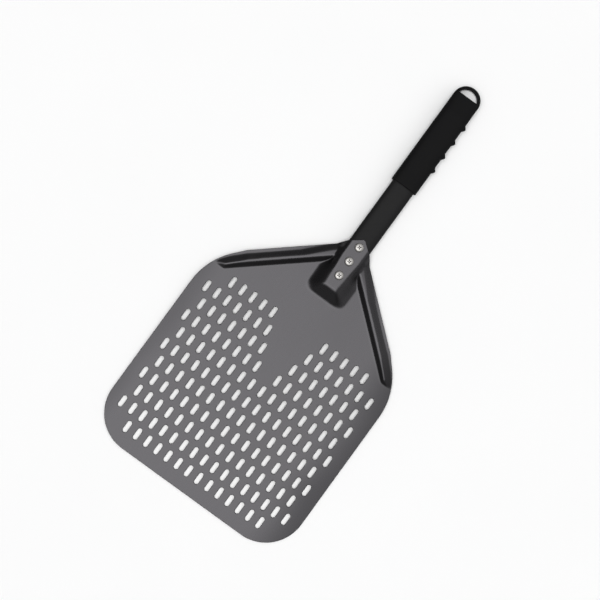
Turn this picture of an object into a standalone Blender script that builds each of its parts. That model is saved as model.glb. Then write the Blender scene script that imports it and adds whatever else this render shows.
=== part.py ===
"""Pizza peel: perforated sheet blade, flat-oval tube handle, moulded grip.

Every piece hangs from one empty. In the empty's own frame y is the distance
from the blade's tip towards the handle, z is the height above the underside
of the flat blade, and x runs across it. All lengths are in metres.
"""
import math

import bmesh
import bpy
from mathutils import Vector
from mathutils.geometry import delaunay_2d_cdt

# ---------------------------------------------------------------- driving dimensions
OVERALL_LENGTH = 0.5915
GAP = 0.0003                      # between pieces that touch

BLADE_WIDTH = 0.276
SHEET = 0.0012                    # sheet thickness
TIP_RADIUS = 0.0515               # the two corners at the tip
SIDE_END_Y = 0.2080                # where the straight sides end
UPPER_RADIUS = 0.084              # the arcs that follow the straight sides
UPPER_ARC_DEG = 44.6
SHOULDER_OUTER = (0.1053, 0.2768)
SHOULDER_INNER = (0.0241, 0.3458)
TONGUE_CORNER = (0.0149, 0.3568)
TONGUE_APEX_Y = 0.3682

SLOT_WIDTH = 0.0057
SLOT_LENGTH = 0.0152
SLOT_HALF_STEP = 0.00745          # half the step across a row: rows are staggered by it
SLOT_ROWS = 11
SLOT_ROW_PITCH = 0.02105
SLOT_FIRST_ROW_Y = 0.2351         # the row nearest the handle
SLOT_REACH = 16                   # furthest slot from the centre line, in half steps
SLOT_END_ROW_REACH = 13           # the same in the first and the last row
SLOT_NOTCH = 4                    # solid V below the hump, half steps each way in row 0

HUMP_HEIGHT = 0.0090
HUMP_FOOT_Y = 0.2822
HUMP_TOP_Y = 0.2994
HUMP_TOP_NARROW = 0.0077          # half width of the flat top at its tip end
HUMP_TOP_WIDE = 0.0116            # and beside the tongue
HUMP_TOP_WIDE_Y = 0.3398
HUMP_FOOT_WIDE = 0.0265           # half width of the foot at its tip end
HUMP_FOOT_NARROW = 0.0224         # and beside the tongue
HUMP_FOOT_WIDE_Y = 0.3125
HUMP_FOOT_NARROW_Y = 0.3247
HUMP_FOOT_END_Y = 0.3498          # where the foot runs out at the neck
HUMP_CORNER_POWER = 4.0           # superellipse power of the foot's two corners
HUMP_CORNER_STEPS = 5

RIB_HEIGHT = 0.0032
RIB_OUTER_FOOT = 0.0050           # distances inward from the shoulder's edge
RIB_OUTER_SLOPE = 0.0056
RIB_CREST_INNER = 0.0137
RIB_INNER_FOOT = 0.0193
RIB_END_Y = 0.2425
RIB_END_SLOPE = 0.0060
RIB_FOOT_AT_ARC = 0.0020          # the outer foot comes closer to the edge at both ends
RIB_FOOT_AT_NECK = 0.0010
RIB_ARC_Y = 0.2480                 # where it starts to move away from the edge
RIB_ARC_FOLD_YS = (0.2540, 0.2640)  # extra fold points along the arc
RIB_NECK_START_Y = 0.3130
RIB_NECK_END_Y = 0.3400
RIB_NECK_FOLD = 0.075             # last fold point of the outer foot, along the shoulder
RIB_CREST_FOLD = -0.010           # first fold point of the crest, along the shoulder

SCREW_YS = {"front": 0.3161, "middle": 0.3364, "rear": 0.3567}
SCREW_TURN_DEG = {"front": 38.0, "middle": 32.0, "rear": 35.0}
SCREW_HEAD_RADIUS = 0.0056
SCREW_HEAD_RIM = 0.0005
SCREW_HEAD_DOME = 0.0019
SCREW_CROWN_POWER = 4.0           # higher for a flatter crown
SCREW_CROWN_SHARES = (0.30, 0.55, 0.75, 0.90, 1.00)
SCREW_SHANK_RADIUS = 0.0020
SCREW_TIP_Z = 0.0010
SCREW_TIP_CHAMFER = 0.0005
RECESS_HALF_SPAN = 0.0027
RECESS_HALF_WIDTH = 0.00065
RECESS_DEPTH = 0.0016

NUT_BARREL_RADIUS = 0.0030
NUT_BORE_RADIUS = 0.0023
NUT_BORE_FLOOR_Z = 0.0
NUT_HEAD_RADIUS = 0.0050
NUT_HEAD_HEIGHT = 0.0013
NUT_HEAD_CHAMFER = (0.0009, 0.0006)   # across and down
NUT_SLOT_HALF_WIDTH = 0.0006
NUT_SLOT_DEPTH = 0.0006

TUBE_HALF_WIDTH = 0.0150
TUBE_HALF_HEIGHT = 0.0060
TUBE_WALL = 0.0012
TUBE_FRONT_HALF_WIDTH = 0.0118    # the tube narrows under the hump
TUBE_FRONT_Y = 0.3067
TUBE_END_Y = 0.5630
TUBE_POWER = 3.0                  # superellipse power of the section

PLUG_FLANGE = 0.0015
PLUG_CHAMFER = 0.0006
PLUG_SPIGOT = 0.0043

GRIP_START_Y = 0.4468
GRIP_HALF_WIDTH = 0.0174
GRIP_HALF_HEIGHT = 0.00825
GRIP_END_HALF_HEIGHT = 0.0052
GRIP_TAPER_START_Y = 0.5525
GRIP_POWER = 3.2
GRIP_LIP = 0.0010                 # rounding of the grip's front edge
GRIP_TAPER_MIDDLE_Y = 0.5630
GRIP_TIP_HALF_WIDTH = 0.0016      # the last section of the round end
GRIP_TIP_THINNING = 0.75
GRIP_STEPS = 32
RIDGE_YS = (0.4831, 0.5034, 0.5239, 0.5448)
RIDGE_HALF_LENGTH = 0.0039
RIDGE_HEIGHT = 0.0030
RIDGE_FLANK_POWER = 0.9           # below 1 for flanks that bulge
RIDGE_WRAP_POWER = 1.5            # higher to fade sooner towards the top and underside
HANG_HOLE_RADIUS = 0.0128
HANG_HOLE_FLAT_Y = 0.5776

OVERCUT = 0.002                   # how far a cutter stands clear of what it cuts
HALF_WIDTH = BLADE_WIDTH / 2
TUBE_CENTRE_Z = HUMP_HEIGHT - GAP - TUBE_HALF_HEIGHT
BLADE_Z = GRIP_HALF_HEIGHT - TUBE_CENTRE_Z        # the grip's underside is at z = 0
GRIP_END_CENTRE_Y = OVERALL_LENGTH - GRIP_HALF_WIDTH


# ---------------------------------------------------------------- helpers
def clear_scene():
    for old in list(bpy.data.objects):
        bpy.data.objects.remove(old, do_unlink=True)


def material(name, colour, roughness, metallic):
    made = bpy.data.materials.new(name)
    made.use_nodes = True
    shader = made.node_tree.nodes["Principled BSDF"]
    shader.inputs["Base Color"].default_value = (*colour, 1.0)
    shader.inputs["Roughness"].default_value = roughness
    shader.inputs["Metallic"].default_value = metallic
    return made


def add_object(name, bm, parent, finish=None, smooth_angle=35.0):
    """Turn a bmesh into a named object under the parent empty."""
    bmesh.ops.recalc_face_normals(bm, faces=bm.faces)
    mesh = bpy.data.meshes.new(name)
    bm.to_mesh(mesh)
    bm.free()
    if smooth_angle:
        mesh.shade_smooth()
        mesh.set_sharp_from_angle(angle=math.radians(smooth_angle))
    if finish:
        mesh.materials.append(finish)
    made = bpy.data.objects.new(name, mesh)
    made.parent = parent
    bpy.context.scene.collection.objects.link(made)
    return made


def loft(rings, closed_loop=False):
    """Skin a row of equal rings; cap both ends, or join the last ring to the first."""
    bm = bmesh.new()
    loops = [[bm.verts.new(point) for point in ring] for ring in rings]
    pairs = list(zip(loops, loops[1:]))
    if closed_loop:
        pairs.append((loops[-1], loops[0]))
    for near, far in pairs:
        for i, vert in enumerate(near):
            j = (i + 1) % len(near)
            bm.faces.new((vert, near[j], far[j], far[i]))
    if not closed_loop:
        bm.faces.new(loops[0][::-1])
        bm.faces.new(loops[-1])
    return bm


def turned(profile, steps):
    """Lathe a (radius, z) profile about the z axis."""
    rings = []
    for radius, z in profile:
        ring = []
        for i in range(steps):
            angle = math.tau * i / steps
            ring.append(Vector((radius * math.cos(angle), radius * math.sin(angle), z)))
        rings.append(ring)
    return loft(rings)


def prism(outline, low, high):
    """Extrude a flat (x, y) outline from z = low to z = high."""
    return loft([[Vector((x, y, z)) for x, y in outline] for z in (low, high)])


def oval_ring(y, half_width, half_height, power, steps, centre_z, push=0.0):
    """Superellipse section across y; push swells its +x side, for a finger ridge."""
    ring = []
    for i in range(steps):
        angle = math.tau * (i + 0.5) / steps
        cosine = math.cos(angle)
        sine = math.sin(angle)
        x = half_width * math.copysign(abs(cosine) ** (2 / power), cosine)
        z = half_height * math.copysign(abs(sine) ** (2 / power), sine)
        x += push * max(0.0, cosine) ** RIDGE_WRAP_POWER
        ring.append(Vector((x, y, centre_z + z)))
    return ring


def cut(target, cutter):
    """Boolean difference that keeps the cutter as a hidden wire guide."""
    cutter.hide_render = True
    cutter.display_type = "WIRE"
    modifier = target.modifiers.new("cut_" + cutter.name, "BOOLEAN")
    modifier.operation = "DIFFERENCE"
    modifier.solver = "EXACT"
    modifier.object = cutter


def clamp01(value):
    return min(1.0, max(0.0, value))


def ramp(value, start, end, low, high):
    """Straight line from low at start to high at end, level outside."""
    return low + (high - low) * clamp01((value - start) / (end - start))


def arc(centre_x, centre_y, radius, start_deg, end_deg, steps):
    points = []
    for i in range(steps + 1):
        angle = math.radians(start_deg + (end_deg - start_deg) * i / steps)
        points.append((centre_x + radius * math.cos(angle), centre_y + radius * math.sin(angle)))
    return points


# ---------------------------------------------------------------- blade: outline and slots
def upper_edge():
    """Right-hand edge from the end of the straight side to the tongue's apex."""
    points = arc(HALF_WIDTH - UPPER_RADIUS, SIDE_END_Y, UPPER_RADIUS, 0, UPPER_ARC_DEG, 6)
    points += [SHOULDER_OUTER, SHOULDER_INNER, TONGUE_CORNER, (0.0, TONGUE_APEX_Y)]
    return points


def blade_outline():
    right = arc(HALF_WIDTH - TIP_RADIUS, TIP_RADIUS, TIP_RADIUS, -90, 0, 8) + upper_edge()
    left = [(-x, y) for x, y in reversed(right[:-1])]
    return right + left


def slot_centres():
    """Staggered rows: even rows use odd half steps, odd rows use even ones."""
    centres = []
    for row in range(SLOT_ROWS):
        y = SLOT_FIRST_ROW_Y - row * SLOT_ROW_PITCH
        reach = SLOT_END_ROW_REACH if row in (0, SLOT_ROWS - 1) else SLOT_REACH
        for half_step in range(-reach, reach + 1):
            on_lattice = (half_step + row) % 2 == 1
            in_notch = abs(half_step) <= SLOT_NOTCH - row
            if on_lattice and not in_notch:
                centres.append((half_step * SLOT_HALF_STEP, y))
    return centres


def slot_outline(centre, steps=3):
    x, y = centre
    radius = SLOT_WIDTH / 2
    reach = SLOT_LENGTH / 2 - radius
    return arc(x, y + reach, radius, 0, 180, steps) + arc(x, y - reach, radius, 180, 360, steps)


def inside_slot(point, centre):
    reach = (SLOT_LENGTH - SLOT_WIDTH) / 2
    along = max(0.0, abs(point[1] - centre[1]) - reach)
    return math.hypot(point[0] - centre[0], along) < SLOT_WIDTH / 2


# ---------------------------------------------------------------- blade: pressed relief
SHOULDER_RUN = Vector(SHOULDER_INNER) - Vector(SHOULDER_OUTER)
SHOULDER_DIR = SHOULDER_RUN.normalized()
SHOULDER_INWARD = Vector((-SHOULDER_DIR.y, SHOULDER_DIR.x))
if SHOULDER_INWARD.y > 0:
    SHOULDER_INWARD.negate()


def shoulder_point(along, inward):
    """Point on the right-hand shoulder, measured from its outer corner."""
    point = Vector(SHOULDER_OUTER) + SHOULDER_DIR * along + SHOULDER_INWARD * inward
    return (point.x, point.y)


def shoulder_point_at_y(y, inward):
    start = Vector(SHOULDER_OUTER) + SHOULDER_INWARD * inward
    return shoulder_point((y - start.y) / SHOULDER_DIR.y, inward)


def shoulder_point_at_x(x, inward):
    start = Vector(SHOULDER_OUTER) + SHOULDER_INWARD * inward
    return shoulder_point((x - start.x) / SHOULDER_DIR.x, inward)


def arc_point_at_y(y, inward):
    """Point a given distance inside the upper arc."""
    radius = UPPER_RADIUS - inward
    return (HALF_WIDTH - UPPER_RADIUS + math.sqrt(radius ** 2 - (y - SIDE_END_Y) ** 2), y)


def edge_distance(x, y):
    """Distance from a point of the right half to the blade's upper edge."""
    point = Vector((x, y))
    edge = [Vector(corner) for corner in upper_edge()]
    nearest = BLADE_WIDTH
    for start, end in zip(edge, edge[1:]):
        run = end - start
        along = clamp01((point - start).dot(run) / run.length_squared)
        nearest = min(nearest, (point - start - run * along).length)
    return nearest


def hump_top_half_width(y):
    return ramp(y, HUMP_TOP_Y, HUMP_TOP_WIDE_Y, HUMP_TOP_NARROW, HUMP_TOP_WIDE)


def hump_foot_half_width(y):
    return ramp(y, HUMP_FOOT_WIDE_Y, HUMP_FOOT_NARROW_Y, HUMP_FOOT_WIDE, HUMP_FOOT_NARROW)


def hump_height(x, y):
    top = hump_top_half_width(y)
    foot = hump_foot_half_width(y)
    across = max(0.0, abs(x) - top) / (foot - top)
    along = max(0.0, HUMP_TOP_Y - y) / (HUMP_TOP_Y - HUMP_FOOT_Y)
    reach = (across ** HUMP_CORNER_POWER + along ** HUMP_CORNER_POWER) ** (1 / HUMP_CORNER_POWER)
    return HUMP_HEIGHT * clamp01(1 - reach)


def rib_outer_foot(y):
    """Distance of the rib's outer foot from the blade's edge."""
    foot = ramp(y, RIB_ARC_Y, SHOULDER_OUTER[1], RIB_FOOT_AT_ARC, RIB_OUTER_FOOT)
    return foot - ramp(y, RIB_NECK_START_Y, RIB_NECK_END_Y, 0.0, RIB_OUTER_FOOT - RIB_FOOT_AT_NECK)


def rib_height(x, y):
    if y <= RIB_END_Y:
        return 0.0
    x = abs(x)
    inward = (Vector((x, y)) - Vector(SHOULDER_OUTER)).dot(SHOULDER_INWARD)
    outer = (edge_distance(x, y) - rib_outer_foot(y)) / RIB_OUTER_SLOPE
    inner = (RIB_INNER_FOOT - inward) / (RIB_INNER_FOOT - RIB_CREST_INNER)
    end = (y - RIB_END_Y) / RIB_END_SLOPE
    return RIB_HEIGHT * clamp01(min(outer, inner, end))


def relief_height(x, y):
    return max(hump_height(x, y), rib_height(x, y))


def relief_lines():
    """Fold lines of the right half: hump top, hump foot, rib crest and rib foot."""
    crest_outer = RIB_OUTER_FOOT + RIB_OUTER_SLOPE
    crest_x = HUMP_FOOT_NARROW - (HUMP_FOOT_NARROW - HUMP_TOP_WIDE) * RIB_HEIGHT / HUMP_HEIGHT
    foot_x = HUMP_FOOT_NARROW
    crest_end_y = RIB_END_Y + RIB_END_SLOPE

    hump_top = [(0.0, HUMP_TOP_Y), (HUMP_TOP_NARROW, HUMP_TOP_Y),
                (HUMP_TOP_WIDE, HUMP_TOP_WIDE_Y), (HUMP_TOP_WIDE, TONGUE_APEX_Y)]
    hump_foot = [(0.0, HUMP_FOOT_Y)]
    for step in range(HUMP_CORNER_STEPS, -1, -1):
        angle = math.radians(90 * step / HUMP_CORNER_STEPS)
        across = math.cos(angle) ** (2 / HUMP_CORNER_POWER)
        along = math.sin(angle) ** (2 / HUMP_CORNER_POWER)
        x = HUMP_TOP_NARROW + (HUMP_FOOT_WIDE - HUMP_TOP_NARROW) * across
        hump_foot.append((x, HUMP_TOP_Y - (HUMP_TOP_Y - HUMP_FOOT_Y) * along))
    hump_foot.append((HUMP_FOOT_WIDE, HUMP_FOOT_WIDE_Y))
    valley = shoulder_point_at_x(0.5 * (HUMP_FOOT_WIDE + HUMP_FOOT_NARROW), RIB_INNER_FOOT)
    crest_near = shoulder_point_at_x(crest_x, RIB_CREST_INNER)
    crest_far = shoulder_point_at_x(crest_x, crest_outer)
    neck_foot = shoulder_point_at_x(foot_x, RIB_OUTER_FOOT)
    hump_foot += [valley, crest_near, crest_far, neck_foot, (foot_x, HUMP_FOOT_END_Y)]

    far_corner = shoulder_point_at_y(RIB_END_Y, RIB_INNER_FOOT)
    inner_foot = [far_corner, valley]
    outer_foot = [far_corner, arc_point_at_y(RIB_END_Y, RIB_FOOT_AT_ARC)]
    outer_foot += [arc_point_at_y(y, rib_outer_foot(y)) for y in RIB_ARC_FOLD_YS]
    outer_foot += [shoulder_point(0.0, RIB_OUTER_FOOT), shoulder_point(RIB_NECK_FOLD, RIB_OUTER_FOOT),
                   neck_foot]
    crest = [crest_near, shoulder_point_at_y(crest_end_y, RIB_CREST_INNER),
             arc_point_at_y(crest_end_y, RIB_FOOT_AT_ARC + RIB_OUTER_SLOPE),
             shoulder_point(RIB_CREST_FOLD, crest_outer), crest_far]
    return [hump_top, hump_foot, inner_foot, outer_foot, crest]


# ---------------------------------------------------------------- blade: sheet
def build_blade(parent, finish):
    """Triangulate the flat blank with its holes, press it, and give it thickness."""
    points = []
    edges = []

    def add_line(line, closed):
        first = len(points)
        points.extend(Vector(point) for point in line)
        last = len(points) - 1
        edges.extend((i, i + 1) for i in range(first, last))
        if closed:
            edges.append((last, first))

    slots = slot_centres()
    hole_radius = SCREW_SHANK_RADIUS + GAP
    outline = blade_outline()
    add_line(outline, True)
    for centre in slots:
        add_line(slot_outline(centre), True)
    for y in SCREW_YS.values():
        add_line(arc(0, y, hole_radius, 0, 330, 11), True)
    for line in relief_lines():
        add_line(line, False)
        add_line([(-x, y) for x, y in line], False)

    flat_points, _, faces, _, _, _ = delaunay_2d_cdt(points, edges, [], 1, 1e-7)
    bm = bmesh.new()
    verts = [bm.verts.new((p.x, p.y, relief_height(p.x, p.y))) for p in flat_points]
    for face in faces:
        centre = sum((flat_points[i] for i in face), Vector((0, 0))) / len(face)
        near = [slot for slot in slots if abs(slot[1] - centre.y) < SLOT_LENGTH]
        in_hole = any(inside_slot(centre, slot) for slot in near)
        in_hole = in_hole or any(math.hypot(centre.x, centre.y - y) < hole_radius
                                 for y in SCREW_YS.values())
        if not in_hole and inside_outline(centre, outline):
            bm.faces.new([verts[i] for i in face])
    loose = [vert for vert in bm.verts if not vert.link_faces]
    bmesh.ops.delete(bm, geom=loose, context="VERTS")
    for face in bm.faces:
        face.normal_update()
        if face.normal.z < 0:
            face.normal_flip()

    mesh = bpy.data.meshes.new("blade")
    bm.to_mesh(mesh)
    bm.free()
    mesh.materials.append(finish)
    blade = bpy.data.objects.new("blade", mesh)
    blade.parent = parent
    bpy.context.scene.collection.objects.link(blade)
    solidify = blade.modifiers.new("sheet_thickness", "SOLIDIFY")
    solidify.thickness = SHEET
    solidify.offset = 1.0
    solidify.use_even_offset = True
    return blade


def inside_outline(point, outline):
    """Even-odd test against the blade's outline."""
    inside = False
    for (ax, ay), (bx, by) in zip(outline, outline[1:] + outline[:1]):
        if (ay > point.y) != (by > point.y):
            if point.x < ax + (point.y - ay) * (bx - ax) / (by - ay):
                inside = not inside
    return inside


# ---------------------------------------------------------------- handle tube and its plug
def tube_half_width(y):
    return ramp(y, TUBE_FRONT_Y, HUMP_TOP_WIDE_Y, TUBE_FRONT_HALF_WIDTH, TUBE_HALF_WIDTH)


def tube_rings(ys, inset, steps=28):
    rings = []
    for y in ys:
        rings.append(oval_ring(y, tube_half_width(y) - inset, TUBE_HALF_HEIGHT - inset,
                               TUBE_POWER, steps, TUBE_CENTRE_Z))
    return rings


def build_tube(parent, finish):
    ys = [TUBE_FRONT_Y, HUMP_TOP_WIDE_Y, GRIP_START_Y, TUBE_END_Y]
    rings = tube_rings(ys, 0.0) + tube_rings(ys[::-1], TUBE_WALL)
    tube = add_object("handle_tube", loft(rings, closed_loop=True), parent, finish)
    narrow = SCREW_SHANK_RADIUS + GAP
    wide = NUT_BARREL_RADIUS + GAP
    middle = TUBE_CENTRE_Z
    reach = TUBE_HALF_HEIGHT + OVERCUT
    profile = [(wide, middle - reach), (wide, middle), (narrow, middle), (narrow, middle + reach)]
    for place, y in SCREW_YS.items():
        cutter = add_object("tube_drill_" + place, turned(profile, 20), parent)
        cutter.location.y = y
        cut(tube, cutter)
    return tube


def build_plug(parent, finish):
    flange_end = TUBE_FRONT_Y - GAP
    flange = tube_rings([TUBE_FRONT_Y], 0.0)[0]
    spigot = tube_rings([TUBE_FRONT_Y], TUBE_WALL + GAP)[0]
    soft = tube_rings([TUBE_FRONT_Y], PLUG_CHAMFER)[0]

    def moved(ring, y):
        return [Vector((point.x, y, point.z)) for point in ring]

    rings = [moved(soft, flange_end - PLUG_FLANGE),
             moved(flange, flange_end - PLUG_FLANGE + PLUG_CHAMFER),
             moved(flange, flange_end), moved(spigot, flange_end),
             moved(spigot, flange_end + PLUG_SPIGOT)]
    return add_object("tube_plug", loft(rings), parent, finish)


# ---------------------------------------------------------------- fasteners
def build_screw(place, y, parent, finish):
    """Domed cross-recess screw that sits on top of the hump."""
    seat = HUMP_HEIGHT + SHEET + GAP
    profile = []
    for share in SCREW_CROWN_SHARES:
        crown = math.sqrt(1 - share ** SCREW_CROWN_POWER)
        profile.append((SCREW_HEAD_RADIUS * share, seat + SCREW_HEAD_RIM + SCREW_HEAD_DOME * crown))
    profile += [(SCREW_HEAD_RADIUS, seat), (SCREW_SHANK_RADIUS, seat),
                (SCREW_SHANK_RADIUS, SCREW_TIP_Z + SCREW_TIP_CHAMFER),
                (SCREW_SHANK_RADIUS - SCREW_TIP_CHAMFER, SCREW_TIP_Z)]
    screw = add_object("screw_" + place, turned(profile, 24), parent, finish)
    screw.location.y = y

    s = RECESS_HALF_SPAN
    w = RECESS_HALF_WIDTH
    cross = [(s, -w), (s, w), (w, w), (w, s), (-w, s), (-w, w),
             (-s, w), (-s, -w), (-w, -w), (-w, -s), (w, -s), (w, -w)]
    top = seat + SCREW_HEAD_RIM + SCREW_HEAD_DOME
    recess = prism(cross, top - RECESS_DEPTH, top + OVERCUT)
    cutter = add_object("screw_recess_" + place, recess, parent)
    cutter.location.y = y
    cutter.rotation_euler.z = math.radians(SCREW_TURN_DEG[place])
    cut(screw, cutter)
    return screw


def build_barrel_nut(place, y, parent, finish):
    """Sleeve nut with a low slotted head under the tube and a blind bore for the screw."""
    seat = TUBE_CENTRE_Z - TUBE_HALF_HEIGHT - GAP
    face = seat - NUT_HEAD_HEIGHT
    top = TUBE_CENTRE_Z + TUBE_HALF_HEIGHT - TUBE_WALL - GAP
    chamfer_across, chamfer_down = NUT_HEAD_CHAMFER
    profile = [(NUT_HEAD_RADIUS - chamfer_across, face), (NUT_HEAD_RADIUS, face + chamfer_down),
               (NUT_HEAD_RADIUS, seat), (NUT_BARREL_RADIUS, seat), (NUT_BARREL_RADIUS, top),
               (NUT_BORE_RADIUS, top), (NUT_BORE_RADIUS, NUT_BORE_FLOOR_Z)]
    nut = add_object("barrel_nut_" + place, turned(profile, 24), parent, finish)
    nut.location.y = y

    w = NUT_SLOT_HALF_WIDTH
    long = NUT_HEAD_RADIUS + OVERCUT
    slot = [(-long, -w), (long, -w), (long, w), (-long, w)]
    cutter = add_object("nut_slot_" + place, prism(slot, face - OVERCUT, face + NUT_SLOT_DEPTH), parent)
    cutter.location.y = y
    cut(nut, cutter)
    return nut


# ---------------------------------------------------------------- grip
def ridge_push(y):
    """How far the finger ridges swell the grip's +x side at y."""
    push = 0.0
    for centre in RIDGE_YS:
        share = clamp01(1 - abs(y - centre) / RIDGE_HALF_LENGTH)
        push = max(push, RIDGE_HEIGHT * share ** RIDGE_FLANK_POWER)
    return push


def grip_stations():
    """(y, inset) pairs along the grip, close together at the ridges and the round end."""
    stations = [(GRIP_START_Y, GRIP_LIP), (GRIP_START_Y + 0.4 * GRIP_LIP, 0.3 * GRIP_LIP),
                (GRIP_START_Y + GRIP_LIP, 0.0)]
    for centre in RIDGE_YS:
        for offset in (-1.0, -0.55, -0.12, 0.12, 0.55, 1.0):
            stations.append((centre + offset * RIDGE_HALF_LENGTH, 0.0))
    stations += [(GRIP_TAPER_START_Y, 0.0), (GRIP_TAPER_MIDDLE_Y, 0.0)]
    for degrees in (0, 15, 30, 42, 54, 64, 73, 80):
        stations.append((GRIP_END_CENTRE_Y + GRIP_HALF_WIDTH * math.sin(math.radians(degrees)), 0.0))
    stations.append((OVERALL_LENGTH, None))
    return stations


def build_grip(parent, finish):
    rings = []
    for y, inset in grip_stations():
        beyond = max(0.0, y - GRIP_END_CENTRE_Y)
        half_width = math.sqrt(max(0.0, GRIP_HALF_WIDTH ** 2 - beyond ** 2))
        half_height = ramp(y, GRIP_TAPER_START_Y, OVERALL_LENGTH, GRIP_HALF_HEIGHT,
                           GRIP_END_HALF_HEIGHT)
        if inset is None:
            half_width = GRIP_TIP_HALF_WIDTH
            half_height *= GRIP_TIP_THINNING
            inset = 0.0
        rings.append(oval_ring(y, half_width - inset, half_height - inset, GRIP_POWER,
                               GRIP_STEPS, TUBE_CENTRE_Z, ridge_push(y)))
    grip = add_object("grip", loft(rings), parent, finish)

    socket_rings = tube_rings([GRIP_START_Y - OVERCUT, TUBE_END_Y + GAP], -GAP)
    cut(grip, add_object("grip_socket", loft(socket_rings), parent))

    rise = math.degrees(math.asin((HANG_HOLE_FLAT_Y - GRIP_END_CENTRE_Y) / HANG_HOLE_RADIUS))
    hole = arc(0, GRIP_END_CENTRE_Y, HANG_HOLE_RADIUS, rise, 180 - rise, 14)
    depth = 2 * GRIP_HALF_HEIGHT
    cutter = prism(hole, TUBE_CENTRE_Z - depth, TUBE_CENTRE_Z + depth)
    cut(grip, add_object("grip_hang_hole", cutter, parent))
    return grip


# ---------------------------------------------------------------- assembly
def main():
    clear_scene()
    frame = bpy.data.objects.new("peel_frame", None)
    frame.location = (0.0, -OVERALL_LENGTH / 2, BLADE_Z)
    bpy.context.scene.collection.objects.link(frame)

    build_blade(frame, material("anodised_sheet", (0.145, 0.140, 0.146), 0.42, 0.9))
    build_tube(frame, material("black_coated_tube", (0.018, 0.018, 0.019), 0.45, 0.2))
    build_plug(frame, material("black_nylon", (0.020, 0.020, 0.021), 0.55, 0.0))
    bright = material("bright_steel", (0.72, 0.70, 0.66), 0.22, 1.0)
    for place, y in SCREW_YS.items():
        build_screw(place, y, frame, bright)
        build_barrel_nut(place, y, frame, bright)
    build_grip(frame, material("black_grip_plastic", (0.012, 0.012, 0.013), 0.6, 0.0))


main()
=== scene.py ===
"""Looks of a pizza peel: fine meshes, procedural finishes, studio light and camera.

Every piece is built in the peel's own frame: x runs across it, y is the distance from the
blade's tip towards the handle and z is the height above the underside of the flat blade.
All lengths are in metres.
"""

import math

import bpy
import numpy as np
from mathutils import Matrix, Vector
from mathutils.geometry import delaunay_2d_cdt


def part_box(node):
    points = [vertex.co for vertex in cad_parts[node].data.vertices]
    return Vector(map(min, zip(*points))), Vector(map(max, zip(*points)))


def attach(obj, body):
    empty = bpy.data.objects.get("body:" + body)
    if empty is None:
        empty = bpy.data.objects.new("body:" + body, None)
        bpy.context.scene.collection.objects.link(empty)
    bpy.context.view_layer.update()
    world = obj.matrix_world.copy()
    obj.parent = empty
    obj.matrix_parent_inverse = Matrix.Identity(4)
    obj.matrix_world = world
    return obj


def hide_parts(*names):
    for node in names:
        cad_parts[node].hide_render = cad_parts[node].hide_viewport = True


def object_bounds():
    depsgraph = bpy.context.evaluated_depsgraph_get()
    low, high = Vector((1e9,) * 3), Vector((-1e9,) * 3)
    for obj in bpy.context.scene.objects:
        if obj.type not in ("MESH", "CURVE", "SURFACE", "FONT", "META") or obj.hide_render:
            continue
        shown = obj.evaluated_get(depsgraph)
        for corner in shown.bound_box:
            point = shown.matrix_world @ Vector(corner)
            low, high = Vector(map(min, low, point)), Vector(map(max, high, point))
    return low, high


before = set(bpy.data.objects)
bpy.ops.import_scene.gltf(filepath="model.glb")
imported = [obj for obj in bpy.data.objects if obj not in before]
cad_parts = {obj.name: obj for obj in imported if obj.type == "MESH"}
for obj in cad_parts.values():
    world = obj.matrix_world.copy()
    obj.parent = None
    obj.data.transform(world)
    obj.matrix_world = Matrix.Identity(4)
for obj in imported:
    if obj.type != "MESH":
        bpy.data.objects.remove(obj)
CAD_LOW, CAD_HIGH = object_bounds()

# ---------------------------------------------------------------- dimensions shared with the CAD
OVERALL_LENGTH = CAD_HIGH.y - CAD_LOW.y
HALF_WIDTH = CAD_HIGH.x
ORIGIN = Vector((0.0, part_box("blade")[0].y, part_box("blade")[0].z))

SHEET = 0.0012
TIP_RADIUS = 0.0515
SIDE_END_Y = 0.2080
UPPER_RADIUS = 0.084
UPPER_ARC_DEG = 44.6
SHOULDER_OUTER = (0.1053, 0.2768)
SHOULDER_INNER = (0.0241, 0.3458)
TONGUE_CORNER = (0.0149, 0.3568)
TONGUE_APEX_Y = 0.3682
SHOULDER_OUTER_RADIUS = 0.030     # roundings of the four corners above
SHOULDER_INNER_RADIUS = 0.012
TONGUE_CORNER_RADIUS = 0.006
TONGUE_APEX_RADIUS = 0.0022

SLOT_WIDTH = 0.0057
SLOT_LENGTH = 0.0152
SLOT_HALF_STEP = 0.00745
SLOT_ROWS = 11
SLOT_ROW_PITCH = 0.02105
SLOT_FIRST_ROW_Y = 0.2351
SLOT_REACH = 16                   # half steps from the middle to the last slot of a row
SLOT_END_ROW_REACH = 13           # the same in the first and the last row
SLOT_NOTCH = 4                    # half steps left solid beside the middle, one less each row

HUMP_HEIGHT = 0.0090
HUMP_FOOT_Y = 0.2815
HUMP_TOP_Y = 0.2999
HUMP_TOP_NARROW = 0.0068
HUMP_TOP_WIDE = 0.0112
HUMP_TOP_WIDE_Y = 0.3398
HUMP_FOOT_WIDE = 0.0274
HUMP_FOOT_NARROW = 0.0224
HUMP_FOOT_WIDE_Y = 0.3125
HUMP_FOOT_NARROW_Y = 0.3247
HUMP_FOOT_POWER = 4.4             # squareness of the front corners at the foot
HUMP_TOP_ROUNDING = 0.6           # how much rounder those corners are near the top
HUMP_FLANK_SWEEP = 0.80           # 0 for straight flanks, 1 for a full S in section

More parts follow.
